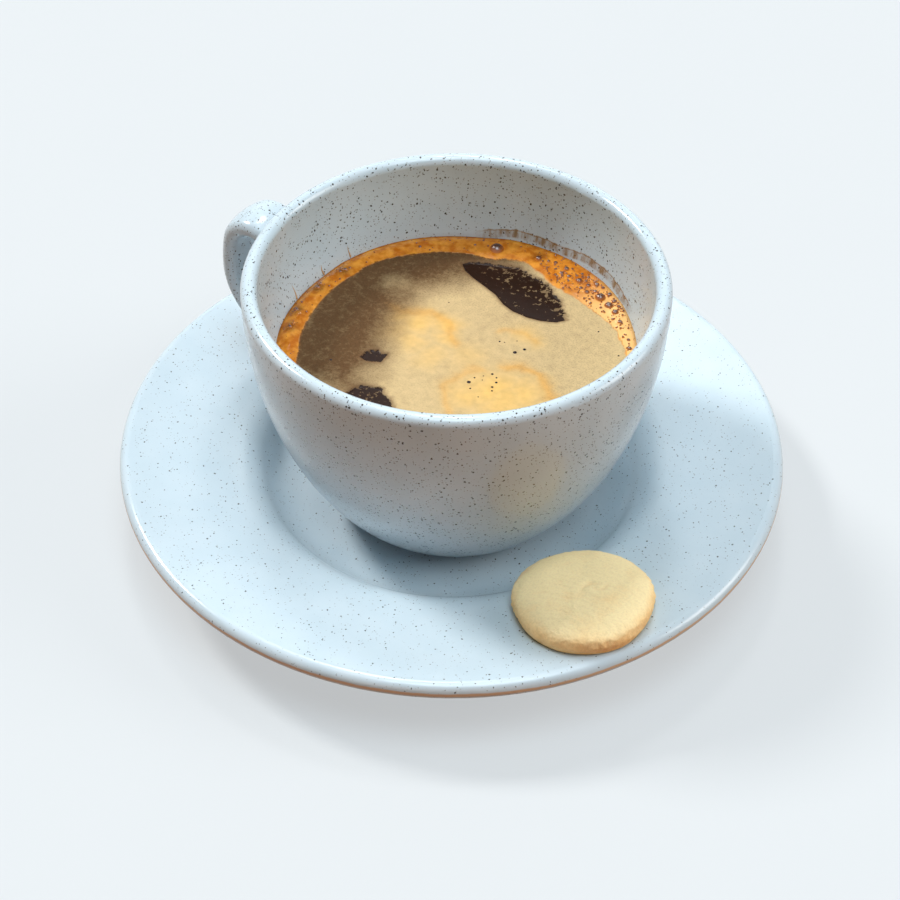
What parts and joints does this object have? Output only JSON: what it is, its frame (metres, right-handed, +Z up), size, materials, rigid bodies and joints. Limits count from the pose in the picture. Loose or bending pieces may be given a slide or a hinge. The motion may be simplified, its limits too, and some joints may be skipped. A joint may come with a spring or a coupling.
{
  "type": "cup of black coffee",
  "caption": "Round stoneware cup of black coffee with a thin golden crema, standing on its broad saucer beside a small round biscuit.",
  "frame": {"origin": "on the table at the middle of the saucer's foot ring", "axes": "+Z up; the cup's handle points along -X; the biscuit lies on the saucer's rim towards +X and -Y"},
  "size_m": [0.16, 0.16, 0.069],
  "materials": {
    "glaze_saucer": "glossy pale blue-grey glaze with fine dark specks",
    "glaze_cup": "glossy pale blue-grey glaze with many fine dark specks",
    "coffee": "still dark liquid",
    "crema": "fine satin froth",
    "biscuit": "dry baked crumb"
  },
  "bodies": {
    "root": {"saucer": "glaze_saucer", "cup": "glaze_cup", "coffee": "coffee", "crema": "crema", "biscuit": "biscuit"}
  },
  "joints": []
}
